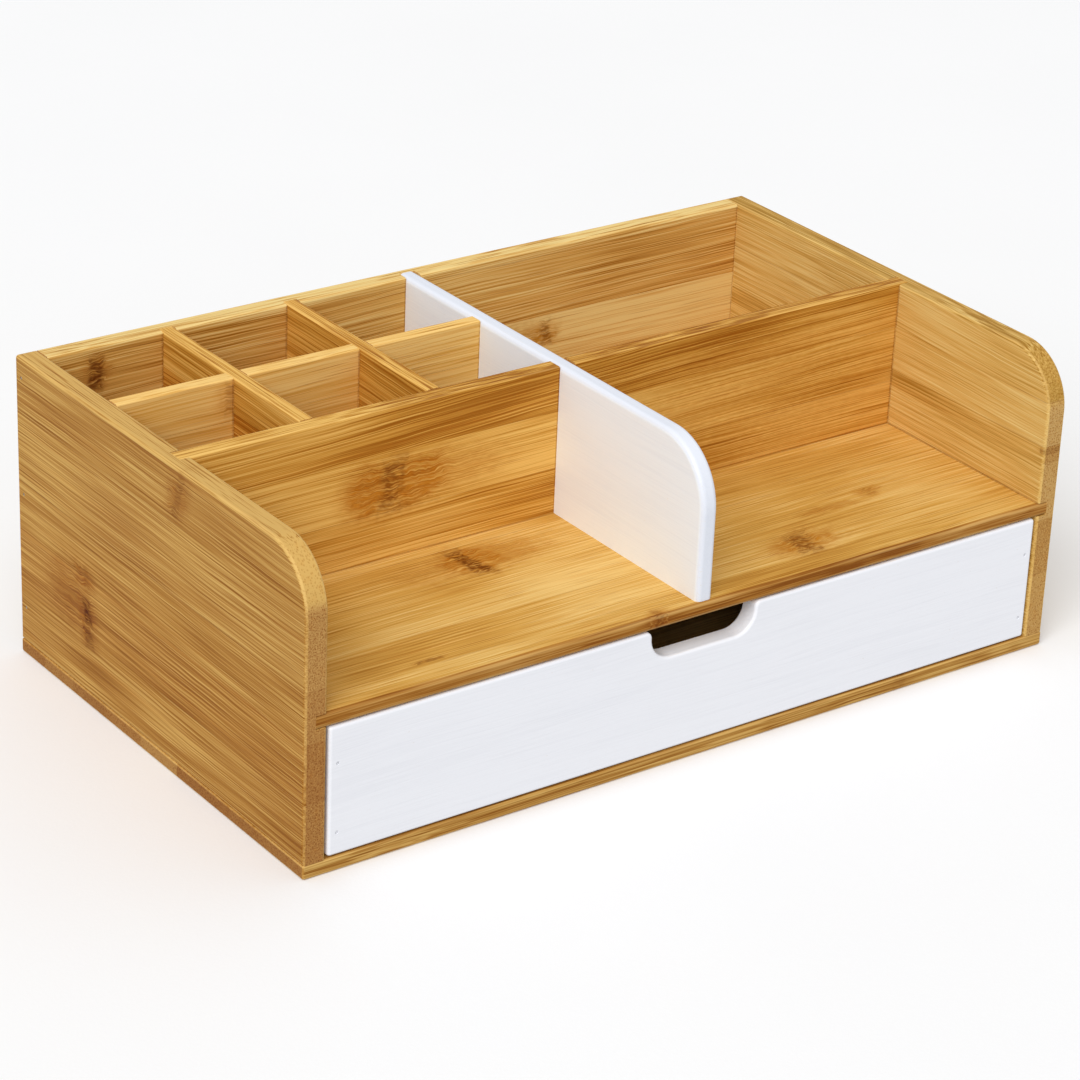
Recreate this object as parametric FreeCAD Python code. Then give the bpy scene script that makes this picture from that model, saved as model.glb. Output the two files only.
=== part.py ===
import FreeCAD, Part
import os

# Desk organizer in laminated bamboo: a carcass with two open bays, a grid of pen cells and one
# rear compartment above a single drawer. All sizes are in millimetres.
# Origin: middle of the underside. +X is to the right, -Y is the front, +Z is up.

# Outer size
WIDTH = 340.0
DEPTH = 200.0
HEIGHT = 122.0

# Board thicknesses
SIDE_THICK = 9.0
THIN_THICK = 5.5  # bottom board and shelf board
BACK_THICK = 8.5
WALL_THICK = 7.0  # compartment wall and centre divider
PEN_THICK = 6.0  # pen grid dividers

# Carcass layout
DRAWER_BAY_HEIGHT = 51.5
WALL_SETBACK = 89.0  # from the front to the compartment wall
DIVIDER_SETBACK = 1.0  # from the front to the centre divider
PEN_COLUMNS = 3
SIDE_CORNER = 23.0  # radius of a side panel's front-top corner
DIVIDER_CORNER = 25.0

# Joinery
SIDE_DADO = 4.5  # how deep the shelf and the wall are let into the sides
DIVIDER_DADO = 5.0  # how deep the centre divider is let into the back panel
PEN_DADO = 3.0

# Drawer
DRAWER_SIDE_GAP = 1.0
DRAWER_FRONT_GAP = 0.6  # above and below the drawer front
DRAWER_BOX_LIFT = 0.4  # running clearance under the drawer box
DRAWER_REAR_GAP = 1.5
DRAWER_FRONT_THICK = 8.0
DRAWER_SIDE_THICK = 7.0
DRAWER_BACK_THICK = 6.0
DRAWER_SIDE_HEIGHT = 40.0
DRAWER_BOTTOM_THICK = 3.0
DRAWER_BOTTOM_LIFT = 4.0  # from the drawer side's lower edge to the bottom panel
GROOVE = 3.5
NOTCH_WIDTH = 47.0
NOTCH_DEPTH = 12.0
NOTCH_INNER_CORNER = 9.0
NOTCH_OUTER_CORNER = 2.5

# Edge rounding
PANEL_ROUND = 1.2
SHELF_ROUND = 1.5
BOARD_ROUND = 0.8
DIVIDER_ROUND = 2.0

CUTTER_MARGIN = 1.0  # how far a cutter runs past the faces that it opens

# Brads
SHANK_RADIUS = 0.45
BRAD_HEAD_RADIUS = 0.7
BRAD_HEAD_HEIGHT = 0.6
BRAD_SET = 0.2  # how far a head sits below the surface
BRAD_LENGTH = 20.0
DRAWER_BRAD_HEIGHTS = (15.0, 42.0)
BACK_BRAD_HEIGHTS = (20.0, 67.0, 114.0)
SIDE_BRAD_PLACES = (-80.0, -27.0, 27.0, 80.0)  # along Y, under each side panel
BACK_BRAD_PLACES = (-90.0, 90.0)  # along X, under the back panel

X, Y, Z = 0, 1, 2
RIGHTWARD = FreeCAD.Vector(1, 0, 0)
REARWARD = FreeCAD.Vector(0, 1, 0)
UPWARD = FreeCAD.Vector(0, 0, 1)

# Faces of the carcass
RIGHT = WIDTH / 2
REAR = DEPTH / 2
FRONT = -REAR
INNER = RIGHT - SIDE_THICK  # inner face of the right side panel
BACK_FACE = REAR - BACK_THICK  # inner face of the back panel
SHELF_UNDER = THIN_THICK + DRAWER_BAY_HEIGHT
SHELF_TOP = SHELF_UNDER + THIN_THICK
LAP = (SHELF_TOP + HEIGHT) / 2  # height at which half-lapped boards meet
WALL_FRONT = FRONT + WALL_SETBACK
WALL_REAR = WALL_FRONT + WALL_THICK
DIVIDER_HALF = WALL_THICK / 2
DIVIDER_FRONT = FRONT + DIVIDER_SETBACK
PEN_CELL_WIDTH = (INNER - DIVIDER_HALF - (PEN_COLUMNS - 1) * PEN_THICK) / PEN_COLUMNS
PEN_LONG_FRONT = (WALL_REAR + BACK_FACE - PEN_THICK) / 2
PEN_LONG_REAR = PEN_LONG_FRONT + PEN_THICK

# Faces of the drawer
DRAWER_RIGHT = INNER - DRAWER_SIDE_GAP
DRAWER_INNER = DRAWER_RIGHT - DRAWER_SIDE_THICK
DRAWER_FACE_REAR = FRONT + DRAWER_FRONT_THICK
DRAWER_REAR = BACK_FACE - DRAWER_REAR_GAP
DRAWER_BACK_FACE = DRAWER_REAR - DRAWER_BACK_THICK
BOX_LOW = THIN_THICK + DRAWER_BOX_LIFT
BOX_HIGH = BOX_LOW + DRAWER_SIDE_HEIGHT
FACE_LOW = THIN_THICK + DRAWER_FRONT_GAP
FACE_HIGH = SHELF_UNDER - DRAWER_FRONT_GAP
PANEL_LOW = BOX_LOW + DRAWER_BOTTOM_LIFT


def board(x, y, z):
    """A plain board; each argument is its (low, high) along one axis."""
    corner = FreeCAD.Vector(x[0], y[0], z[0])
    return Part.makeBox(x[1] - x[0], y[1] - y[0], z[1] - z[0], corner)


def lies_on(edge, plane):
    """Whether an edge lies in a plane, given as (axis, position)."""
    axis, position = plane
    return all(abs(point[axis] - position) < 1e-6 for point in edge.discretize(3))


def edges_on(shape, *planes, skip=()):
    """The edges that lie in all of the planes and in none of the skipped ones."""
    return [
        edge
        for edge in shape.Edges
        if not edge.Degenerated
        and all(lies_on(edge, plane) for plane in planes)
        and not any(lies_on(edge, plane) for plane in skip)
    ]


def brad(head, direction):
    """A headed brad, set just below the surface point that it is driven through."""
    start = head + direction * BRAD_SET
    top = Part.makeCylinder(BRAD_HEAD_RADIUS, BRAD_HEAD_HEIGHT, start, direction)
    shank = Part.makeCylinder(SHANK_RADIUS, BRAD_LENGTH, start, direction)
    return top.fuse(shank).removeSplitter()


def drilled(shape, heads, direction):
    """The shape with the holes that its brads make, from the surface down."""
    for head in heads:
        mouth = Part.makeCylinder(BRAD_HEAD_RADIUS, BRAD_SET, head, direction)
        shape = shape.cut(mouth.fuse(brad(head, direction)))
    return shape


def brad_group(*rows):
    """All the brads of one kind as separate solids; each row is (heads, direction)."""
    return Part.makeCompound([brad(head, way) for heads, way in rows for head in heads])


def back_brad_heads(side):
    """Surface points on a side panel, side being +1 on the right and -1 on the left."""
    middle = REAR - BACK_THICK / 2
    return [FreeCAD.Vector(side * RIGHT, middle, z) for z in BACK_BRAD_HEIGHTS]


def bottom_brad_heads():
    """Surface points on the underside, below both side panels and the back panel."""
    middle = RIGHT - SIDE_THICK / 2
    under_sides = [FreeCAD.Vector(s * middle, y, 0) for s in (-1, 1) for y in SIDE_BRAD_PLACES]
    under_back = [FreeCAD.Vector(x, REAR - BACK_THICK / 2, 0) for x in BACK_BRAD_PLACES]
    return under_sides + under_back


def drawer_front_brad_heads():
    """Surface points on the drawer front, in line with the drawer's sides."""
    middle = DRAWER_RIGHT - DRAWER_SIDE_THICK / 2
    return [FreeCAD.Vector(s * middle, FRONT, z) for s in (-1, 1) for z in DRAWER_BRAD_HEIGHTS]


def drawer_back_brad_heads(side):
    """Surface points on a drawer side, in line with the drawer's back."""
    middle = DRAWER_REAR - DRAWER_BACK_THICK / 2
    return [FreeCAD.Vector(side * DRAWER_RIGHT, middle, z) for z in DRAWER_BRAD_HEIGHTS]


def shelf_space():
    """The space the shelf takes up, dadoes included."""
    reach = INNER + SIDE_DADO
    return board((-reach, reach), (FRONT, BACK_FACE), (SHELF_UNDER, SHELF_TOP))


def wall_space():
    """The space the compartment wall takes up, dadoes included."""
    reach = INNER + SIDE_DADO
    return board((-reach, reach), (WALL_FRONT, WALL_REAR), (SHELF_TOP, HEIGHT))


def divider_space():
    """The space the centre divider takes up, dado included."""
    return board(
        (-DIVIDER_HALF, DIVIDER_HALF),
        (DIVIDER_FRONT, BACK_FACE + DIVIDER_DADO),
        (SHELF_TOP, HEIGHT),
    )


def pen_long_space():
    """The space the long pen divider takes up."""
    return board((-INNER, -DIVIDER_HALF), (PEN_LONG_FRONT, PEN_LONG_REAR), (SHELF_TOP, HEIGHT))


def pen_cross_space(column):
    """The space the cross divider to the right of a pen column takes up, dado included."""
    left = -INNER + column * PEN_CELL_WIDTH + (column - 1) * PEN_THICK
    return board((left, left + PEN_THICK), (WALL_REAR, BACK_FACE + PEN_DADO), (SHELF_TOP, HEIGHT))


def drawer_panel_space():
    """The space the drawer's bottom panel takes up, grooves included."""
    reach = DRAWER_INNER + GROOVE
    return board(
        (-reach, reach),
        (DRAWER_FACE_REAR - GROOVE, DRAWER_BACK_FACE + GROOVE),
        (PANEL_LOW, PANEL_LOW + DRAWER_BOTTOM_THICK),
    )


def half(space, upper):
    """The upper or lower half of a board that stands on the shelf, for a half-lap."""
    reach = (-RIGHT, RIGHT), (FRONT, REAR)
    span = (LAP, HEIGHT) if upper else (SHELF_TOP, LAP)
    return space.common(board(*reach, span))


def make_bottom_board():
    shape = board((-RIGHT, RIGHT), (FRONT, REAR), (0, THIN_THICK))
    shape = shape.makeFillet(BOARD_ROUND, shape.Edges)
    return drilled(shape, bottom_brad_heads(), UPWARD)


def make_side_panel(side):
    outer, inner = side * RIGHT, side * INNER
    shape = board(sorted((outer, inner)), (FRONT, REAR), (THIN_THICK, HEIGHT))
    shape = shape.makeFillet(SIDE_CORNER, edges_on(shape, (Y, FRONT), (Z, HEIGHT)))
    foot, rear = (Z, THIN_THICK), (Y, REAR)
    edges = edges_on(shape, (X, outer)) + edges_on(shape, (X, inner), skip=(foot, rear))
    shape = shape.makeFillet(PANEL_ROUND, edges + edges_on(shape, rear, (Z, HEIGHT)))
    shape = shape.cut(shelf_space()).cut(wall_space())
    shape = drilled(shape, back_brad_heads(side), RIGHTWARD * -side)
    return drilled(shape, bottom_brad_heads(), UPWARD)


def make_shelf_board():
    shape = shelf_space()
    edges = edges_on(shape, (Y, FRONT), (Z, SHELF_UNDER)) + edges_on(shape, (Y, FRONT), (Z, SHELF_TOP))
    return shape.makeFillet(SHELF_ROUND, edges)


def make_back_panel():
    shape = board((-INNER, INNER), (BACK_FACE, REAR), (THIN_THICK, HEIGHT))
    edges = edges_on(shape, (Y, BACK_FACE), (Z, HEIGHT)) + edges_on(shape, (Y, REAR), (Z, HEIGHT))
    shape = shape.makeFillet(PANEL_ROUND, edges).cut(divider_space())
    for column in range(1, PEN_COLUMNS):
        shape = shape.cut(pen_cross_space(column))
    for side in (-1, 1):
        shape = drilled(shape, back_brad_heads(side), RIGHTWARD * -side)
    return drilled(shape, bottom_brad_heads(), UPWARD)


def make_compartment_wall():
    shape = wall_space()
    edges = edges_on(shape, (Y, WALL_FRONT), (Z, HEIGHT)) + edges_on(shape, (Y, WALL_REAR), (Z, HEIGHT))
    return shape.makeFillet(BOARD_ROUND, edges).cut(half(divider_space(), upper=True))


def make_centre_divider():
    shape = divider_space()
    shape = shape.makeFillet(DIVIDER_CORNER, edges_on(shape, (Y, DIVIDER_FRONT), (Z, HEIGHT)))
    hidden = (Z, SHELF_TOP), (Y, BACK_FACE + DIVIDER_DADO)
    edges = [edge for s in (-1, 1) for edge in edges_on(shape, (X, s * DIVIDER_HALF), skip=hidden)]
    return shape.makeFillet(DIVIDER_ROUND, edges).cut(half(wall_space(), upper=False))


def make_pen_divider_long():
    shape = pen_long_space()
    faces = PEN_LONG_FRONT, PEN_LONG_REAR
    edges = [edge for y in faces for edge in edges_on(shape, (Y, y), (Z, HEIGHT))]
    shape = shape.makeFillet(BOARD_ROUND, edges)
    for column in range(1, PEN_COLUMNS):
        shape = shape.cut(half(pen_cross_space(column), upper=True))
    return shape


def make_pen_divider_cross(column):
    shape = pen_cross_space(column)
    faces = shape.BoundBox.XMin, shape.BoundBox.XMax
    edges = [edge for x in faces for edge in edges_on(shape, (X, x), (Z, HEIGHT))]
    return shape.makeFillet(BOARD_ROUND, edges).cut(half(pen_long_space(), upper=False))


def make_notch_cutter():
    """The finger notch in the middle of the drawer front's upper edge."""
    reach = NOTCH_WIDTH / 2
    floor = FACE_HIGH - NOTCH_DEPTH
    through = (FRONT - CUTTER_MARGIN, DRAWER_FACE_REAR + CUTTER_MARGIN)
    shape = board((-reach, reach), through, (floor, FACE_HIGH))
    edges = [edge for s in (-1, 1) for edge in edges_on(shape, (X, s * reach), (Z, floor))]
    return shape.makeFillet(NOTCH_INNER_CORNER, edges)


def make_drawer_front():
    shape = board((-DRAWER_RIGHT, DRAWER_RIGHT), (FRONT, DRAWER_FACE_REAR), (FACE_LOW, FACE_HIGH))
    corners = [(s * DRAWER_RIGHT, z) for s in (-1, 1) for z in (FACE_LOW, FACE_HIGH)]
    edges = [edge for x, z in corners for edge in edges_on(shape, (X, x), (Z, z))]
    shape = shape.makeFillet(PANEL_ROUND, edges).cut(make_notch_cutter())
    mouth = [e for s in (-1, 1) for e in edges_on(shape, (X, s * NOTCH_WIDTH / 2), (Z, FACE_HIGH))]
    shape = shape.makeFillet(NOTCH_OUTER_CORNER, mouth)
    shape = shape.makeFillet(PANEL_ROUND, edges_on(shape, (Y, FRONT)))
    shape = shape.makeFillet(BOARD_ROUND, edges_on(shape, (Y, DRAWER_FACE_REAR)))
    return drilled(shape.cut(drawer_panel_space()), drawer_front_brad_heads(), REARWARD)


def make_drawer_side(side):
    outer, inner = side * DRAWER_RIGHT, side * DRAWER_INNER
    shape = board(sorted((outer, inner)), (DRAWER_FACE_REAR, DRAWER_REAR), (BOX_LOW, BOX_HIGH))
    edges = [edge for x in (outer, inner) for edge in edges_on(shape, (X, x), (Z, BOX_HIGH))]
    shape = shape.makeFillet(BOARD_ROUND, edges).cut(drawer_panel_space())
    shape = drilled(shape, drawer_front_brad_heads(), REARWARD)
    return drilled(shape, drawer_back_brad_heads(side), RIGHTWARD * -side)


def make_drawer_back():
    shape = board((-DRAWER_INNER, DRAWER_INNER), (DRAWER_BACK_FACE, DRAWER_REAR), (BOX_LOW, BOX_HIGH))
    faces = DRAWER_BACK_FACE, DRAWER_REAR
    edges = [edge for y in faces for edge in edges_on(shape, (Y, y), (Z, BOX_HIGH))]
    shape = shape.makeFillet(BOARD_ROUND, edges).cut(drawer_panel_space())
    for side in (-1, 1):
        shape = drilled(shape, drawer_back_brad_heads(side), RIGHTWARD * -side)
    return shape


def make_parts():
    """Every node of the organizer, by name."""
    return {
        "bottom_board": make_bottom_board(),
        "left_side_panel": make_side_panel(-1),
        "right_side_panel": make_side_panel(1),
        "shelf_board": make_shelf_board(),
        "back_panel": make_back_panel(),
        "compartment_wall": make_compartment_wall(),
        "centre_divider": make_centre_divider(),
        "pen_divider_long": make_pen_divider_long(),
        "pen_divider_cross_left": make_pen_divider_cross(1),
        "pen_divider_cross_right": make_pen_divider_cross(2),
        "back_panel_brads": brad_group(
            (back_brad_heads(-1), RIGHTWARD), (back_brad_heads(1), RIGHTWARD * -1)
        ),
        "bottom_board_brads": brad_group((bottom_brad_heads(), UPWARD)),
        "drawer_front": make_drawer_front(),
        "drawer_left_side": make_drawer_side(-1),
        "drawer_right_side": make_drawer_side(1),
        "drawer_back": make_drawer_back(),
        "drawer_bottom": drawer_panel_space(),
        "drawer_front_brads": brad_group((drawer_front_brad_heads(), REARWARD)),
        "drawer_back_brads": brad_group(
            (drawer_back_brad_heads(-1), RIGHTWARD), (drawer_back_brad_heads(1), RIGHTWARD * -1)
        ),
    }


os.makedirs("parts", exist_ok=True)
for name, shape in make_parts().items():
    shape.exportStep(f"parts/{name}.step")
    print(f"{name}: {len(shape.Solids)} solid(s), {shape.Volume / 1000:.1f} cm3")
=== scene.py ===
"""Looks of the bamboo desk organizer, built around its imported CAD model.

Every board keeps its CAD mesh and gets a procedural material of its own. The bamboo is a solid texture:
it is worked out in the row frame in millimetres, so fibres that are long lines on a board's faces are
dots on its end grain, and two faces of one board agree at their shared edge.
"""
import math

import bpy
from mathutils import Matrix, Vector


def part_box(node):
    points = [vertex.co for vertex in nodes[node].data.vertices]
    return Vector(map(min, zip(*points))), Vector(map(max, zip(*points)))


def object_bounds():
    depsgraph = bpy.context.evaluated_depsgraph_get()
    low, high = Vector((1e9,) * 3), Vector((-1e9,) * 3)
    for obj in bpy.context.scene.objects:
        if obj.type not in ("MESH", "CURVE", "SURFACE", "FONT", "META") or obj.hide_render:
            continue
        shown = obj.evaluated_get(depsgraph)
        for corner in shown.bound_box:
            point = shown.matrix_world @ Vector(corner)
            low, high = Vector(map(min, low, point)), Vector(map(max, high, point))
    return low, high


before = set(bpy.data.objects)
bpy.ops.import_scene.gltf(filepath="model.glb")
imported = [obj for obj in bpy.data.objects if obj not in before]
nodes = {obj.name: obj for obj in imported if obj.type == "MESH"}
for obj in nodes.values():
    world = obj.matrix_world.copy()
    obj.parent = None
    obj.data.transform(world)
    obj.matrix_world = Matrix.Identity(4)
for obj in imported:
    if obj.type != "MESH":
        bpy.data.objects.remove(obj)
cad_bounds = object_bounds()

MM_PER_M = 1000.0
AXIS = {"x": 0, "y": 1, "z": 2}
LOW, HIGH = 0, 1
FAR = 9.0  # millimetres, farther than any thin line reaches

# A board's axes: along the grain, across the strips on its face, through its thickness.
SIDEWAYS = "yzx"
LYING = "xyz"
CROSSWISE = "xzy"

# Camera, in the row frame: metres and degrees, and millimetres for its lens and sensor.
CAMERA_PLACE = Vector((-0.750364, -1.0082, 0.647434))
CAMERA_AZIMUTH = -36.615
CAMERA_ELEVATION = 25.583
CAMERA_ROLL = 2.476
CAMERA_LENS = 122.08
SENSOR_WIDTH = 36.0
CLIP_START = 0.05

# Studio, in metres and watts.
SKY_COLOUR = (0.985, 0.99, 1.0, 1.0)
SKY_STRENGTH = 0.6
SOFTBOX_PLACE = Vector((-18.2, -14.2, 21.6))
SOFTBOX_SIZE = 23.2
SOFTBOX_POWER = 7200.0
FLOOR_REACH = 60.0
FLOOR_DROP = 0.0002  # from the object's lowest point to the floor


# ---------------------------------------------------------------- colour

def linear(level):
    """One sRGB level, 0 to 255, as linear light."""
    part = level / 255.0
    return part / 12.92 if part <= 0.04045 else ((part + 0.055) / 1.055) ** 2.4


def colour(red, green, blue):
    """A colour given by its sRGB levels, as the shader nodes take it."""
    return (linear(red), linear(green), linear(blue), 1.0)


# ---------------------------------------------------------------- node building

class Signal:
    """A number that varies over the surface. Arithmetic on it adds math nodes to its graph."""

    def __init__(self, graph, socket):
        self.graph = graph
        self.socket = socket

    def __add__(self, other):
        return self.graph.math("ADD", self, other)

    def __radd__(self, other):
        return self.graph.math("ADD", other, self)

    def __sub__(self, other):
        return self.graph.math("SUBTRACT", self, other)

    def __rsub__(self, other):
        return self.graph.math("SUBTRACT", other, self)

    def __mul__(self, other):
        return self.graph.math("MULTIPLY", self, other)

    def __rmul__(self, other):
        return self.graph.math("MULTIPLY", other, self)

    def __truediv__(self, other):
        return self.graph.math("DIVIDE", self, other)

    def __abs__(self):
        return self.graph.math("ABSOLUTE", self, 0.0)

    def at_least(self, other):
        return self.graph.math("MAXIMUM", self, other)

    def at_most(self, other):
        return self.graph.math("MINIMUM", self, other)

    def root(self):
        return self.graph.math("SQRT", self, 0.0)

    def rise(self, low, high):
        """0 at low, 1 at high, smooth between. With low above high it falls instead."""
        ends = {"Value": self, "From Min": low, "From Max": high}
        node = self.graph.add("ShaderNodeMapRange", ends, interpolation_type="SMOOTHSTEP")
        return Signal(self.graph, node.outputs[0])


class Graph:
    """One material's node tree. Methods add nodes and return signals or colour sockets."""

    def __init__(self, name):
        self.material = bpy.data.materials.new(name)
        self.material.use_nodes = True
        self.tree = self.material.node_tree
        self.shader = self.tree.nodes["Principled BSDF"]
        self.points = self.tree.nodes.new("ShaderNodeTexCoord")

    def feed(self, socket, value):
        """Link a signal or socket to an input, or set the input to a constant."""
        if isinstance(value, Signal):
            value = value.socket
        if isinstance(value, bpy.types.NodeSocket):
            self.tree.links.new(value, socket)
        else:
            socket.default_value = value

    def add(self, kind, inputs, **settings):
        node = self.tree.nodes.new(kind)
        for name, value in settings.items():
            setattr(node, name, value)
        for key, value in inputs.items():
            self.feed(node.inputs[key], value)
        return node

    def math(self, operation, first, second):
        node = self.add("ShaderNodeMath", {0: first, 1: second}, operation=operation)
        return Signal(self, node.outputs[0])

    def parts(self, vector):
        node = self.add("ShaderNodeSeparateXYZ", {0: vector})
        return [Signal(self, out) for out in node.outputs]

    def place(self, axes):
        """The surface point in millimetres, in the row frame, ordered by the board's axes."""
        xyz = self.parts(self.points.outputs["Object"])
        return [xyz[AXIS[axis]] * MM_PER_M for axis in axes]

    def facing(self, axes):
        """The surface's own direction, without sign, ordered by the board's axes."""
        xyz = self.parts(self.points.outputs["Normal"])
        return [abs(xyz[AXIS[axis]]) for axis in axes]

    def vector(self, x, y, z):
        return self.add("ShaderNodeCombineXYZ", {0: x, 1: y, 2: z}).outputs[0]

    def noise(self, x, y, z, detail, roughness=0.5):
        """Noise centred on zero, mostly within half either way."""
        inputs = {"Vector": self.vector(x, y, z), "Scale": 1.0, "Detail": detail, "Roughness": roughness}
        level = Signal(self, self.add("ShaderNodeTexNoise", inputs).outputs[0])
        return (level - 0.5) * 2.0

    def streaks(self, spot, size, detail, seed=0.0, roughness=0.5):
        """Noise drawn out along the first axis. Its size is (length, width) in millimetres."""
        along, across, depth = spot
        length, width = size
        return self.noise(along / length + seed, across / width, depth / width, detail, roughness)

    def cells(self, spot, size, randomness=1.0):
        """Distance to the nearest of one scattered point per cell. A cell's size is (length, width)."""
        along, across, depth = spot
        length, width = size
        vector = self.vector(along / length, across / width, depth / width)
        inputs = {"Vector": vector, "Scale": 1.0, "Randomness": randomness}
        return Signal(self, self.add("ShaderNodeTexVoronoi", inputs).outputs["Distance"])

    def nearest(self, distances):
        """The smallest of some distances, or FAR if that is nearer."""
        least = self.math("ADD", FAR, 0.0)
        for distance in distances:
            least = least.at_most(distance)
        return least

    def ramp(self, level, stops, interpolation="LINEAR"):
        """Colour from a level in 0 to 1, by (position, colour) stops."""
        node = self.add("ShaderNodeValToRGB", {0: level})
        scale = node.color_ramp
        scale.interpolation = interpolation
        while len(scale.elements) < len(stops):
            scale.elements.new(1.0)
        positions, shades = zip(*stops)
        for element, position in zip(scale.elements, positions):
            element.position = position
        for element, shade in zip(scale.elements, shades):
            element.color = shade
        return node.outputs[0]

    def mix(self, amount, under, over, blend="MIX"):
        """Lay one colour over another. The node has several sockets by each name, so they go by number."""
        node = self.add("ShaderNodeMix", {0: amount, 6: under, 7: over}, data_type="RGBA", blend_type=blend)
        return node.outputs[2]

    def stain(self, amount, under, shade):
        """Darken a colour by multiplying it, as a clear stain does."""
        return self.mix(amount, under, shade, "MULTIPLY")

    def split(self, shade):
        node = self.add("ShaderNodeSeparateColor", {0: shade})
        return [Signal(self, out) for out in node.outputs]

    def bump(self, height, depth_mm):
        inputs = {"Height": height, "Distance": depth_mm / MM_PER_M, "Strength": 1.0}
        self.feed(self.shader.inputs["Normal"], self.add("ShaderNodeBump", inputs).outputs[0])

    def finish(self, base, roughness, **constants):
        """Connect the shader. Constants are set on its own sockets, named with _ for each space."""
        self.feed(self.shader.inputs["Base Color"], base)
        self.feed(self.shader.inputs["Roughness"], roughness)
        for name, value in constants.items():
            self.shader.inputs[name.replace("_", " ")].default_value = value
        return self.material


# ---------------------------------------------------------------- bamboo

KNOT_BROWN = colour(134, 92, 22)
SMEAR_BROWN = colour(208, 168, 96)
LINE_BROWN = colour(188, 144, 88)
END_TAN = colour(184, 136, 84)
WARM = colour(248, 220, 176)
# Glue brown, for the glue lines and for the corner lines. The corner lines are partly glue and partly painted
# shade.
GLUE_AND_SHADE_BROWN = colour(160, 118, 72)
# Pale of the rounded edges: partly wear, partly a painted highlight.
WORN_AND_HIGHLIGHT = colour(246, 208, 134)
SHADE_BROWN = colour(203, 178, 153)

# Palettes: the wood's darkest, middle and palest colours, and where they lie in its level from 0 to 1.
SIDE_PALETTE = ((142, 87, 20), (182, 131, 60), (215, 173, 98))
SHELF_PALETTE = ((172, 114, 34), (215, 165, 79), (238, 200, 124))
RIGHT_PALETTE = ((168, 122, 44), (213, 170, 92), (232, 202, 132))
WALL_PALETTE = ((158, 96, 18), (204, 148, 60), (236, 190, 104))
BACK_PALETTE = ((158, 100, 22), (216, 166, 86), (240, 211, 140))
PEN_PALETTE = ((170, 110, 28), (228, 172, 82), (248, 206, 126))
PALE_PALETTE = ((184, 140, 76), (224, 184, 116), (242, 210, 152))
PALETTE_LEVELS = (0.05, 0.5, 0.95)

# Sizes of the grain's features in millimetres: length along the fibres, width across them.
FINE_LINES = (70.0, 0.5)
HAIRLINES = (100.0, 0.95)
MEDIUM_LINES = (180.0, 2.6)
BROAD_BANDS = (280.0, 34.0)
CLOUDS = (80.0, 50.0)
BURRS = (3.2, 0.8)
BUNDLES = (50.0, 0.9)
PORES = (2.0, 0.55)

# How the fibres stray sideways: each wave's length, width and height in millimetres.
WAVES = (160.0, 45.0, 2.5)
WANDERING = (22.0, 9.0, 0.4)
SWIRLS = (8.0, 6.0, 2.6)  # only round the node marks

# What sets strips and boards apart.
STRIP_SLANT = 0.02  # the most that one strip's fibres rise against another's, per length
STRIP_SHIFT = 700.0  # the most that one strip's pattern lies along from another's, in millimetres
BOARD_SHIFT = 131.0  # how far each unit of a board's seed shifts its pattern along

SEAM_EDGES = (0.352, 0.064)  # from a glue line: where its darkness starts and is full
CORNER_EDGES = (0.4, 0.1)  # the same for the corner with another board
CORNER_OFFSET = 0.2  # from a neighbouring board's face to the middle of its corner line

BAMBOO_ROUGHNESS = 0.55
BAMBOO_BUMP = 0.07  # millimetres of relief for a height of 1
BAMBOO_SPECULAR = 0.08


class Board:
    """One bamboo board. Lengths are in row-frame millimetres, and what a board doesn't set stays as here.

    strips: each strip's upper edge across the board, its tone and its warmth. The last edge is the board's.
    knots: each node mark's place along and across, its length and height, its lean, how far its brown
    smear reaches, and how dark and how brown it is.
    corners: the axis and level of each corner with another board, where a line of glue and painted shade
    runs.
    """
    kind = "bamboo"  # the first word of its material's name
    knots = ()
    corners = ()
    inner_corners = False  # keep the corner lines off the board's outer half
    contrast = 1.0  # strength of its lines
    drift = 1.0  # strength of its slow changes of tone
    slant = 0.012  # rise of its fibres across the board, per length
    fibre = 1.0  # its lines' length against the usual
    rim_tone = 0.3  # how much paler its long edges are
    rim_shade = 0.0  # how much those edges are browned
    end_shade = 0.0  # how much its end grain is browned

    def __init__(self, node, axes, palette, seed, strips, **others):
        self.node = node
        self.axes = axes
        self.palette = palette
        self.seed = seed
        self.strips = strips
        for name, value in others.items():
            setattr(self, name, value)

    def extent(self, index):
        """The board's lowest and highest place along one of its own axes."""
        return [corner[AXIS[self.axes[index]]] * MM_PER_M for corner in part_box(self.node)]


def strip_ramp(graph, board, across):
    """Per strip across a board: its tone, warmth and seed, as the three channels of a constant ramp."""
    low, high = board.extent(1)
    stops = []
    start = low
    for index, (upper, tone, warmth) in enumerate(board.strips):
        seed = (0.37 + 0.61803 * (index + 1)) % 1.0
        stops.append(((start - low) / (high - low), (0.5 + tone, warmth, seed, 1.0)))
        start = upper
    level = (across - low) / (high - low)
    return graph.split(graph.ramp(level, stops, "CONSTANT"))


def knot_masks(graph, board, along, across):
    """The culm's node marks: a dark broken bar across the strip and a brown smear along the grain."""
    core, smear = 0.0, 0.0
    # The wobble breaks up the outlines of the marks.
    wobble = graph.noise(along / 6.0, across / 4.0, 7.0, detail=3.0)
    for u, v, length, height, lean, reach, dark, brown in board.knots:
        from_mid = abs(across - v) / (height * 0.5)
        offset = along - u - (across - v) * lean + wobble * length * 0.8
        if dark:
            bar = abs(offset / length).at_least(from_mid) + wobble * 0.3
            core = bar.rise(1.1, 0.4) * dark + core
        if brown:
            spread = offset / reach
            patch = (spread * spread + from_mid * from_mid * 0.8).root() + wobble * 0.35
            smear = patch.rise(1.15, 0.25) * brown + smear
    return graph.math("MINIMUM", core, 1.0), graph.math("MINIMUM", smear, 1.0)


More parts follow.
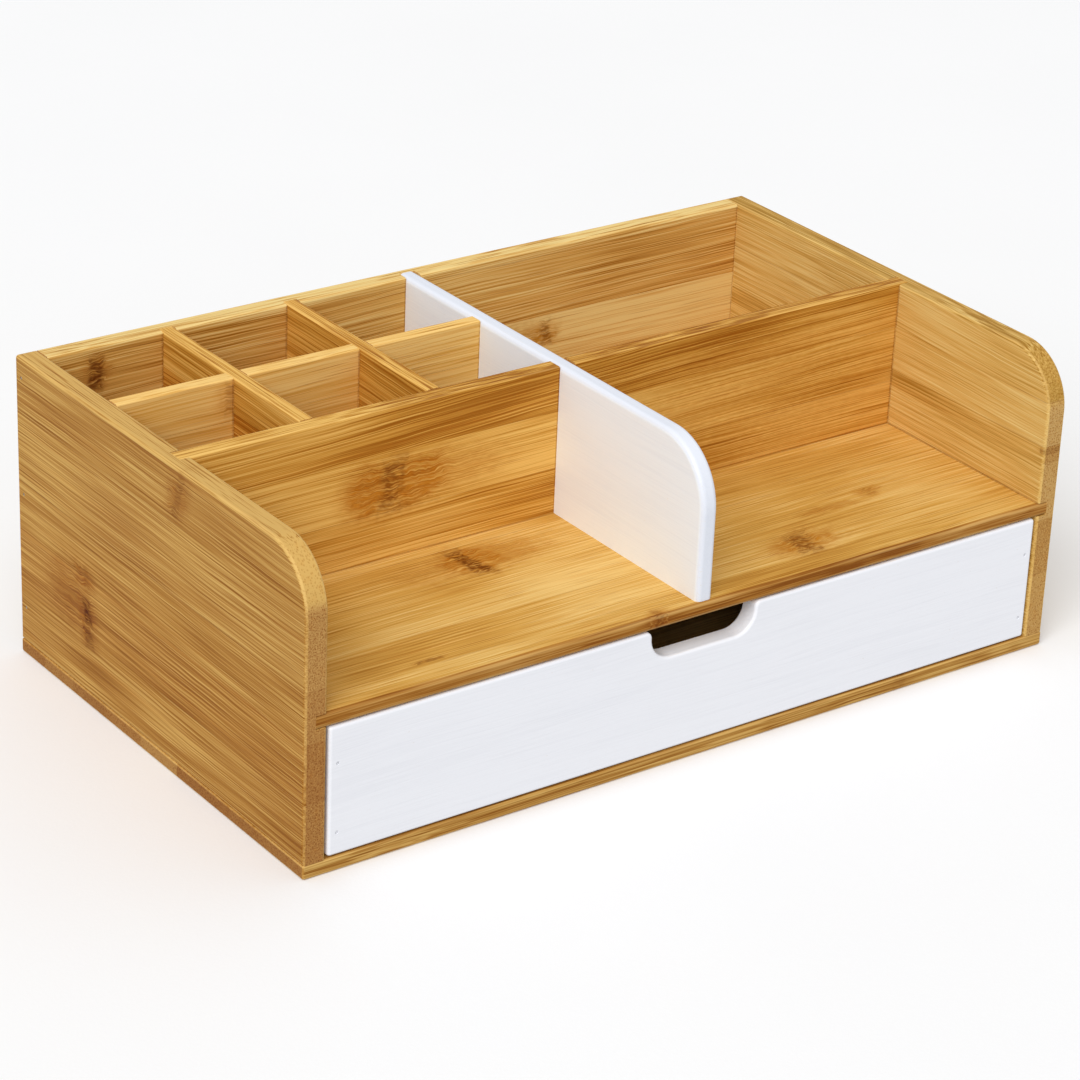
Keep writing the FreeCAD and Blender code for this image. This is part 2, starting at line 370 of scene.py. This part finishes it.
class Grain:
    """The signals that a board's colour, roughness and bump are mixed from."""

    def __init__(self, graph, board):
        self.along, self.across, self.depth = graph.place(board.axes)
        self.read_faces(graph, board)
        self.tone, self.warmth, self.chance = strip_ramp(graph, board, self.across)
        self.core, self.smear = knot_masks(graph, board, self.along, self.across)
        self.knot = (self.smear + self.core).rise(0.3, 0.9)
        self.lay_fibres(graph, board)
        self.add_bundles(graph)
        self.seams = self.find_seams(graph, board)
        self.corners = self.find_corners(graph, board)

    def read_faces(self, graph, board):
        """Which kind of face this is: end grain, a long edge, a broad face, or rounded between them."""
        end_face, rim_face, self.broad_face = graph.facing(board.axes)
        self.end_grain = end_face.rise(0.96, 0.999)
        self.end_cut = end_face.rise(0.2, 0.6)
        self.rim = rim_face.rise(0.05, 0.3)
        self.rounded = (self.broad_face * (1.0 - self.broad_face) * 4.0).rise(0.25, 0.9)

    def lay_fibres(self, graph, board):
        """Noise along bent fibres, at widths from half a millimetre to the whole board."""
        along, depth = self.along, self.depth
        u = along / board.fibre + self.chance * STRIP_SHIFT + board.seed * BOARD_SHIFT
        v = self.bend(graph, board)
        self.spot = (u, v, depth)
        self.fine = graph.streaks(self.spot, FINE_LINES, detail=1.0)
        self.hair = graph.streaks(self.spot, HAIRLINES, detail=1.0)
        self.medium = graph.streaks(self.spot, MEDIUM_LINES, detail=2.0)
        self.broad = graph.streaks(self.spot, BROAD_BANDS, detail=0.6)
        self.cloud = graph.streaks(self.spot, CLOUDS, detail=1.0)
        self.burr = graph.streaks((along, v, depth), BURRS, detail=2.0)
        length, width = PORES
        self.pores = graph.noise(v / width, depth / width, along / length, detail=1.0)

    def bend(self, graph, board):
        """The place across the bent fibres: what is constant along a fibre."""
        along, across, seed = self.along, self.across, board.seed
        length, width, height = WAVES
        across_strips = across / width + self.chance * 9.0
        wave = graph.noise(along / length + seed, across_strips, self.depth / 30.0, detail=1.0) * height
        length, width, height = WANDERING
        wander = graph.noise(along / length, across / width, seed + self.chance * 5.0, detail=2.0) * height
        length, width, height = SWIRLS
        swirl = graph.noise(along / length, across / width, seed, detail=2.0) * self.knot * height
        straight = across - board.slant * along + (self.chance - 0.5) * STRIP_SLANT * along
        return straight + wave + wander + swirl

    def add_bundles(self, graph):
        """Fibre bundles: thin dark dashes on the faces, wider dots on the end grain, crowded in places."""
        distance = graph.cells(self.spot, BUNDLES, randomness=0.8)
        bundle = distance.rise(0.26 + self.end_cut * 0.2, 0.1 + self.end_cut * 0.08)
        crowd = (0.6 + self.end_cut * 0.6 + self.hair * 0.9 + self.broad).rise(0.2, 0.9)
        self.dots = bundle * crowd

    def find_seams(self, graph, board):
        """1 on the glue lines between strips, where they show, 0 away from them."""
        distances = [abs(self.across - upper) for upper, tone, warmth in board.strips[:-1]]
        shown = (0.5 + self.cloud * 1.4 + self.hair).rise(0.25, 0.9)
        return graph.nearest(distances).rise(*SEAM_EDGES) * shown

    def find_corners(self, graph, board):
        """1 in the thin corners where neighbouring boards meet this one's broad faces, 0 away from them: the
        lines of glue and painted shade.
        """
        spot = dict(zip(board.axes, (self.along, self.across, self.depth)))
        distances = [abs(spot[axis] - level) for axis, level in board.corners]
        corners = graph.nearest(distances).rise(*CORNER_EDGES) * self.broad_face.rise(0.9, 0.99)
        if not board.inner_corners:
            return corners
        low, high = board.extent(2)
        middle = (abs(low) + abs(high)) / 2.0
        return corners * abs(self.depth).rise(middle + 1.0, middle - 1.0)


def bamboo_level(board, grain):
    """How pale the wood is, from 0 in its darkest lines to 1."""
    lines = grain.fine * 1.05 + grain.hair * 0.5 + grain.medium * 0.08
    edge_lines = 1.0 - grain.end_cut * 0.4 + grain.rim * (1.0 - grain.end_cut) * 0.6
    slow = grain.broad * 0.6 + grain.cloud * 0.4
    level = grain.tone + (grain.tone - 0.5) * grain.end_grain * 2.5 + grain.rim * board.rim_tone
    level = level + lines * board.contrast * edge_lines + slow * board.drift
    return level + grain.pores * grain.end_grain * 0.6 + grain.burr * grain.knot * 0.45


def bamboo_colour(graph, board, grain):
    """The wood's colour, stained by its bundles, glue and node marks, darkened along its corners by glue and
    painted shade, and paled on its rounds by wear and a painted highlight.
    """
    stops = [(level, colour(*shade)) for level, shade in zip(PALETTE_LEVELS, board.palette)]
    base = graph.ramp(bamboo_level(board, grain), stops)
    base = graph.mix(grain.end_grain * 0.5, base, END_TAN)
    base = graph.stain(grain.rim * board.rim_shade + grain.end_grain * board.end_shade, base, SHADE_BROWN)
    bundles = grain.dots * (0.5 - grain.end_cut * 0.15 + grain.end_grain * 0.25)
    base = graph.stain(bundles, base, LINE_BROWN)
    base = graph.stain(grain.warmth + grain.medium.rise(0.0, 0.6) * 0.3, base, WARM)
    base = graph.stain(grain.seams * 0.35, base, GLUE_AND_SHADE_BROWN)
    # Painted shade with glue: a dark line along each corner with another board, broken up by the grain.
    glue_and_shade_breakup = (0.6 + grain.hair + grain.cloud).rise(0.0, 0.9)
    base = graph.stain(grain.corners * glue_and_shade_breakup * 0.5, base, GLUE_AND_SHADE_BROWN)
    streaked = (0.65 + grain.hair * 0.7 + grain.burr * 0.8).rise(0.0, 1.0)
    base = graph.stain(grain.smear * streaked, base, SMEAR_BROWN)
    broken = (0.6 + grain.burr * 1.3).rise(0.1, 0.9)
    base = graph.stain(grain.core * broken, base, KNOT_BROWN)
    # Paler rounded edges: partly wear, partly a painted highlight on the rounds.
    wear_and_highlight = grain.rounded * (0.62 + grain.medium * 0.5 + grain.cloud * 0.6).rise(0.1, 0.9)
    return graph.mix(wear_and_highlight * 0.3, base, WORN_AND_HIGHLIGHT)


def bamboo_height(grain):
    """The relief of the lines, bundles, seams and corners, for the bump."""
    lines = (grain.fine * 0.45 + grain.hair * 0.4) * (1.0 - grain.end_cut * 0.7)
    pits = grain.dots * (0.35 - grain.end_cut * 0.3) + grain.seams * 0.6 + grain.corners
    return lines + grain.burr * grain.knot * 0.4 - pits


def bamboo(board):
    """Laminated bamboo for one board."""
    graph = Graph(board.kind + "_" + board.node)
    grain = Grain(graph, board)
    rough = BAMBOO_ROUGHNESS + grain.fine * 0.10 + grain.cloud * 0.08
    rough = rough + grain.end_grain * 0.16 + grain.core * 0.10 - grain.rounded * 0.05
    graph.bump(bamboo_height(grain), BAMBOO_BUMP)
    return graph.finish(bamboo_colour(graph, board, grain), rough, Specular_IOR_Level=BAMBOO_SPECULAR)


# ---------------------------------------------------------------- boards

def beside(node, axis, side):
    """The axis and level just outside a node's low or high face, where another board's corner line runs."""
    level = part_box(node)[side][AXIS[axis]] * MM_PER_M
    return axis, level + (CORNER_OFFSET if side == HIGH else -CORNER_OFFSET)


WALL_FRONT = beside("compartment_wall", "y", LOW)
SHELF_TOP = beside("shelf_board", "z", HIGH)
LEFT_INSIDE = beside("left_side_panel", "x", HIGH)
RIGHT_INSIDE = beside("right_side_panel", "x", LOW)
BACK_INSIDE = beside("back_panel", "y", LOW)
DIVIDER_LEFT = beside("centre_divider", "x", LOW)
CROSS_LEFT = beside("pen_divider_cross_left", "x", LOW)
CROSS_RIGHT = beside("pen_divider_cross_right", "x", LOW)
PEN_LONG_FRONT = beside("pen_divider_long", "y", LOW)

PALE = {"kind": "pale", "contrast": 0.7}

BOARDS = [
    Board(
        "left_side_panel", SIDEWAYS, SIDE_PALETTE, 1.0,
        [(29, -0.05, 0.1), (52, -0.08, 0.2), (72, 0.0, 0.05), (100, 0.05, 0.0), (122, 0.02, 0.0)],
        knots=[
            (48, 38, 3.4, 13, 0.2, 9, 0.85, 0.6),
            (47, 28, 3.6, 10, 0.1, 9, 0.5, 0.7),
            (49, 52, 2.6, 12, 0.1, 9, 0.15, 0.7),
            (60, 42, 3.0, 32, 0.1, 22, 0.0, 0.7),
            (-17, 111, 2.8, 22, -0.3, 10, 0.25, 0.8),
        ],
        contrast=0.95, drift=0.4, rim_tone=0.5,
    ),
    Board(
        "right_side_panel", SIDEWAYS, RIGHT_PALETTE, 2.0,
        [(32, 0.0, 0.05), (55, -0.03, 0.1), (79, 0.02, 0.0), (86, -0.07, 0.1), (104, 0.03, 0.0),
         (122, 0.0, 0.0)],
        knots=[
            (-99, 84, 1.4, 3, 0.0, 5, 0.5, 0.3),
            (20, 44, 3.0, 22, 0.2, 18, 0.5, 0.7),
        ],
        corners=[WALL_FRONT, SHELF_TOP], inner_corners=True,
        contrast=0.65, drift=0.35, rim_tone=-0.3, fibre=0.6,
    ),
    Board(
        "shelf_board", LYING, SHELF_PALETTE, 3.0,
        [(-89, -0.01, 0.0), (-68, 0.05, 0.05), (-40, 0.07, 0.0), (-17, 0.01, 0.0), (6, 0.04, 0.0),
         (30, 0.0, 0.05), (55, 0.06, 0.0), (92, 0.02, 0.0)],
        knots=[
            (-55, -29, 4.4, 26, -0.1, 15, 0.9, 1.0),
            (-40, -29, 4.0, 22, 0.0, 26, 0.0, 0.7),
            (-76, -31, 4.0, 22, 0.0, 16, 0.0, 0.4),
            (61, -80, 6.0, 20, 0.2, 22, 0.65, 1.0),
            (112, -57, 3.0, 9, 0.1, 9, 0.15, 0.7),
            (88, -61, 3.0, 7, 0.0, 18, 0.0, 0.6),
            (-111, -86, 6.0, 2.6, 0.0, 9, 0.55, 0.5),
            (-21, -99, 2.5, 9, 0.1, 6, 0.3, 0.9),
            # The next two are not node marks: they are wide faint browns that darken the right part of the
            # shelf's front edge and of its top.
            (122, -99.5, 3.0, 4, 0.0, 62, 0.0, 0.2),
            (92, -45, 4.0, 110, 0.0, 80, 0.0, 0.15),
        ],
        corners=[WALL_FRONT, LEFT_INSIDE, RIGHT_INSIDE],
        contrast=0.65, drift=0.8, rim_tone=0.05, rim_shade=1.0, fibre=0.6,
    ),
    Board(
        "compartment_wall", CROSSWISE, WALL_PALETTE, 4.0,
        [(81, 0.05, 0.1), (104, 0.08, 0.0), (122, 0.04, 0.1)],
        knots=[
            (-77, 91, 6.0, 26, 0.1, 20, 0.6, 0.7),
            (-90, 91, 4.0, 25, 0.1, 13, 0.0, 0.8),
            (-64, 91, 3.0, 24, 0.1, 14, 0.0, 0.6),
            (-52, 92, 3.0, 20, 0.1, 34, 0.0, 0.5),
            # Not a node mark: a wide faint brown that darkens the right part of the wall.
            (85, 92, 4.0, 80, 0.0, 90, 0.0, 0.4),
        ],
        corners=[DIVIDER_LEFT, RIGHT_INSIDE, SHELF_TOP],
        contrast=0.85, slant=0.02, rim_tone=0.12,
    ),
    Board(
        "back_panel", CROSSWISE, BACK_PALETTE, 5.0,
        [(22, 0.02, 0.0), (45, -0.04, 0.1), (68, 0.0, 0.05), (92.3, 0.38, 0.0), (118.5, -0.05, 0.05),
         (122, 0.1, 0.0)],
        knots=[
            (-141, 111, 4.0, 17, 0.1, 8, 0.85, 0.9),
            (65, 85, 3.0, 14, -0.1, 9, 0.5, 0.8),
            (46, 82, 3.0, 24, 0.0, 24, 0.0, 0.7),
        ],
        corners=[CROSS_LEFT, CROSS_RIGHT, DIVIDER_LEFT, RIGHT_INSIDE], inner_corners=True,
        contrast=0.8, drift=0.4,
    ),
    Board(
        "pen_divider_long", CROSSWISE, PEN_PALETTE, 6.0,
        [(80, 0.14, 0.05), (105, 0.22, 0.0), (122, 0.18, 0.0)],
        knots=[(-114, 114, 2.5, 17, 0.0, 8, 0.3, 0.5)],
        corners=[CROSS_LEFT, CROSS_RIGHT, DIVIDER_LEFT],
        contrast=0.7, drift=0.4, rim_tone=0.15,
    ),
    Board(
        "pen_divider_cross_left", SIDEWAYS, WALL_PALETTE, 7.0,
        [(84, 0.0, 0.3), (108, -0.06, 0.4), (122, 0.05, 0.1)],
        corners=[BACK_INSIDE, PEN_LONG_FRONT],
        contrast=0.85, drift=0.5,
    ),
    Board(
        "pen_divider_cross_right", SIDEWAYS, WALL_PALETTE, 8.0,
        [(78, -0.04, 0.35), (101, 0.03, 0.25), (122, 0.0, 0.2)],
        corners=[BACK_INSIDE, PEN_LONG_FRONT],
        contrast=0.85, drift=0.5,
    ),
    Board(
        "bottom_board", LYING, SIDE_PALETTE, 9.0,
        [(-76, -0.02, 0.0), (-52, -0.03, 0.1), (-16, -0.07, 0.2), (10, 0.1, 0.0), (36, 0.01, 0.1),
         (60, -0.03, 0.0), (82, 0.02, 0.0), (100, -0.01, 0.1)],
        knots=[
            (98, -92, 3.0, 18, 0.1, 14, 0.5, 0.7),
            (-60, 24, 3.0, 24, 0.1, 20, 0.6, 0.9),
        ],
        contrast=0.6, drift=0.5, rim_tone=0.06, end_shade=0.5,
    ),
    Board(
        "drawer_left_side", SIDEWAYS, PALE_PALETTE, 11.0,
        [(25, 0.02, 0.0), (46, -0.03, 0.05)],
        **PALE,
    ),
    Board(
        "drawer_right_side", SIDEWAYS, PALE_PALETTE, 12.0,
        [(22, -0.02, 0.05), (46, 0.03, 0.0)],
        **PALE,
    ),
    Board(
        "drawer_back", CROSSWISE, PALE_PALETTE, 13.0,
        [(27, 0.0, 0.0), (46, 0.03, 0.05)],
        **PALE,
    ),
    Board(
        "drawer_bottom", LYING, PALE_PALETTE, 14.0,
        [(-60, 0.02, 0.0), (-22, -0.03, 0.05), (20, 0.02, 0.0), (58, -0.02, 0.0), (88, 0.03, 0.0)],
        **PALE,
    ),
]


# ---------------------------------------------------------------- paint, steel, floor

PAINT = colour(248, 249, 254)
PAINT_SHADE = colour(239, 240, 246)
# The divider's paint is cooler than the drawer front's. This is painted light, set against the warm light
# bounced onto it from the wood.
PAINT_COOLED_AGAINST_BOUNCE = colour(247, 250, 255)
PAINT_COOLED_AGAINST_BOUNCE_DARK = colour(238, 242, 250)
# Painted light for the divider: its broad faces are cooled against that bounced light, and its edges get
# painted shade.
FACE_COOLING_AGAINST_BOUNCE = colour(252, 255, 255)
EDGE_PAINTED_SHADE = colour(240, 241, 245)
NO_TINT = colour(255, 255, 255)
PAINT_WORN = colour(226, 208, 180)
STEEL_DARK = colour(112, 112, 114)
STEEL_LIGHT = colour(176, 177, 180)
FLOOR_PALE = colour(253, 253, 253)
FLOOR_SHADE = colour(250, 250, 250)

# Features in millimetres: length and width on wood, and one size where they have no direction.
PAINT_GRAIN = (30.0, 0.55)
PAINT_BRUSH = (90.0, 2.6)
PAINT_SPECKS = (9.0, 6.0)
SCRATCH_SIZE = 0.12
STAIN_SIZE = 0.6
PATCH_SIZE = 0.5
FLOOR_CLOUD_SIZE = 160.0
FLOOR_GRAIN_SIZE = 1.5

# Relief in millimetres for a height of 1.
PAINT_BUMP = 0.05
STEEL_BUMP = 0.02
FLOOR_BUMP = 0.02


def white_paint(name, axes, seed, shade, full, face_cooling=NO_TINT, edge_painted_shade=NO_TINT):
    """Satin white paint over wood: the grain shows faintly through it, and it thins on the rounded edges. Its
    two tints are painted light: one cools the broad faces against warm bounced light, the other is painted
    shade on the edges.
    """
    graph = Graph(name)
    along, across, depth = graph.place(axes)
    broad_face = graph.facing(axes)[-1]
    wave = graph.noise(along / 90.0 + seed, across / 40.0, depth / 30.0, detail=1.0)
    bent = (along, across + wave * 2.0, depth)
    grain = graph.streaks(bent, PAINT_GRAIN, detail=2.0, roughness=0.6)
    brush = graph.streaks(bent, PAINT_BRUSH, detail=2.0, seed=seed)
    cloud = graph.noise(along / 60.0, across / 25.0, depth / 25.0 + seed, detail=3.0)
    speck = graph.cells((along, across, depth), PAINT_SPECKS).rise(0.07, 0.03)
    level = 0.7 + grain * 0.5 + brush * 0.3 + cloud * 0.38
    base = graph.ramp(level, [(0.1, shade), (0.8, full)])
    # Painted light: the broad faces take one tint, cooled against bounced light, and the edges take the
    # other, a painted shade.
    painted_light_tint = graph.mix(broad_face.rise(0.85, 1.0), edge_painted_shade, face_cooling)
    base = graph.stain(1.0, base, painted_light_tint)
    rounded = (broad_face * (1.0 - broad_face) * 4.0).rise(0.3, 0.9)
    thin = rounded * (grain * 1.2 + cloud).rise(0.25, 0.8)
    base = graph.mix(thin * 0.35 + speck * 0.12, base, PAINT_WORN)
    rough = 0.38 + grain * 0.10 + cloud * 0.10 + speck * 0.2
    graph.bump(grain * 0.5 + brush * 0.4 - speck * 0.5, PAINT_BUMP)
    return graph.finish(base, rough, Specular_IOR_Level=0.45, Coat_Weight=0.08, Coat_Roughness=0.3)


def even_noise(graph, size, detail):
    """Noise of one size in every direction."""
    x, y, z = graph.place(LYING)
    return graph.noise(x / size, y / size, z / size, detail)


def brushed_steel(name):
    """Dull pressed heads of the brads."""
    graph = Graph(name)
    scratch = even_noise(graph, SCRATCH_SIZE, detail=3.0)
    stain = even_noise(graph, STAIN_SIZE, detail=2.0)
    base = graph.ramp(0.5 + scratch * 0.5 + stain * 0.6, [(0.1, STEEL_DARK), (0.9, STEEL_LIGHT)])
    graph.bump(scratch, STEEL_BUMP)
    return graph.finish(base, 0.42 + scratch * 0.2 + stain * 0.15, Metallic=0.9)


def painted_steel(name):
    """Brad heads under the drawer front's paint, where the steel greys it."""
    graph = Graph(name)
    patch = even_noise(graph, PATCH_SIZE, detail=3.0)
    base = graph.ramp(0.5 + patch * 0.7, [(0.15, STEEL_LIGHT), (0.75, PAINT_SHADE)])
    graph.bump(patch, STEEL_BUMP)
    return graph.finish(base, 0.45 + patch * 0.1, Specular_IOR_Level=0.4)


def pale_floor(name):
    """A nearly white sheet with faint clouds and a slight tooth."""
    graph = Graph(name)
    x, y, z = graph.place(LYING)
    cloud = graph.noise(x / FLOOR_CLOUD_SIZE, y / FLOOR_CLOUD_SIZE, z, detail=3.0)
    grain = graph.noise(x / FLOOR_GRAIN_SIZE, y / FLOOR_GRAIN_SIZE, z, detail=2.0)
    base = graph.ramp(0.5 + cloud * 0.5, [(0.0, FLOOR_SHADE), (1.0, FLOOR_PALE)])
    graph.bump(grain, FLOOR_BUMP)
    return graph.finish(base, 0.75 + grain * 0.1, Specular_IOR_Level=0.2)


# ---------------------------------------------------------------- dressing the frame

def dress(node, material):
    for slot in nodes[node].material_slots:
        slot.material = material


def dress_paint():
    # The divider's paint carries painted light: it is cooled against the warm bounce, with painted shade on
    # its edges.
    divider = white_paint(
        "paint_centre_divider", SIDEWAYS, 1.0, PAINT_COOLED_AGAINST_BOUNCE_DARK, PAINT_COOLED_AGAINST_BOUNCE, FACE_COOLING_AGAINST_BOUNCE, EDGE_PAINTED_SHADE)
    dress("centre_divider", divider)
    dress("drawer_front", white_paint("paint_drawer_front", CROSSWISE, 2.0, PAINT_SHADE, PAINT))


def dress_steel():
    steel = brushed_steel("steel_brads")
    for node in nodes:
        if node.endswith("_brads"):
            dress(node, steel)
    dress("drawer_front_brads", painted_steel("paint_brads"))


# ---------------------------------------------------------------- stage

def make_floor():
    """A wide pale floor just under the bottom board."""
    reach = FLOOR_REACH
    level = cad_bounds[0].z - FLOOR_DROP
    mesh = bpy.data.meshes.new("floor")
    corners = [(-reach, -reach, level), (reach, -reach, level), (reach, reach, level), (-reach, reach, level)]
    mesh.from_pydata(corners, [], [(0, 1, 2, 3)])
    floor = bpy.data.objects.new("floor", mesh)
    bpy.context.scene.collection.objects.link(floor)
    floor.data.materials.append(pale_floor("floor_pale"))
    floor.visible_diffuse = False


def make_world():
    """Even, nearly white light from all round."""
    world = bpy.data.worlds.new("studio")
    world.use_nodes = True
    backdrop = world.node_tree.nodes["Background"]
    backdrop.inputs["Color"].default_value = SKY_COLOUR
    backdrop.inputs["Strength"].default_value = SKY_STRENGTH
    bpy.context.scene.world = world


def make_softbox():
    """One large soft light, in front, above and to the left, aimed at the object's middle."""
    light = bpy.data.lights.new("key_softbox", "AREA")
    light.shape = "SQUARE"
    light.size = SOFTBOX_SIZE
    light.energy = SOFTBOX_POWER
    lamp = bpy.data.objects.new("key_softbox", light)
    middle = (cad_bounds[0] + cad_bounds[1]) / 2
    lamp.location = SOFTBOX_PLACE
    lamp.rotation_euler = (middle - SOFTBOX_PLACE).to_track_quat("-Z", "Y").to_euler()
    bpy.context.scene.collection.objects.link(lamp)


def make_camera():
    """The camera, turned by its azimuth round the object, its elevation and its roll."""
    azimuth = math.radians(CAMERA_AZIMUTH)
    elevation = math.radians(CAMERA_ELEVATION)
    roll = math.radians(CAMERA_ROLL)
    level = math.cos(elevation)
    back = Vector((math.sin(azimuth) * level, -math.cos(azimuth) * level, math.sin(elevation)))
    right = (-back).cross(Vector((0, 0, 1))).normalized()
    up = right.cross(-back)
    turned_right = math.cos(roll) * right + math.sin(roll) * up
    turned_up = -math.sin(roll) * right + math.cos(roll) * up
    turn = Matrix((turned_right, turned_up, back)).transposed()
    data = bpy.data.cameras.new("camera")
    data.sensor_width = SENSOR_WIDTH
    data.lens = CAMERA_LENS
    data.clip_start = CLIP_START
    camera = bpy.data.objects.new("camera", data)
    camera.matrix_world = Matrix.Translation(CAMERA_PLACE) @ turn.to_4x4()
    bpy.context.scene.collection.objects.link(camera)
    bpy.context.scene.camera = camera


for board in BOARDS:
    dress(board.node, bamboo(board))
dress_paint()
dress_steel()
make_floor()
make_world()
make_softbox()
make_camera()
bpy.context.scene.view_settings.view_transform = "Standard"
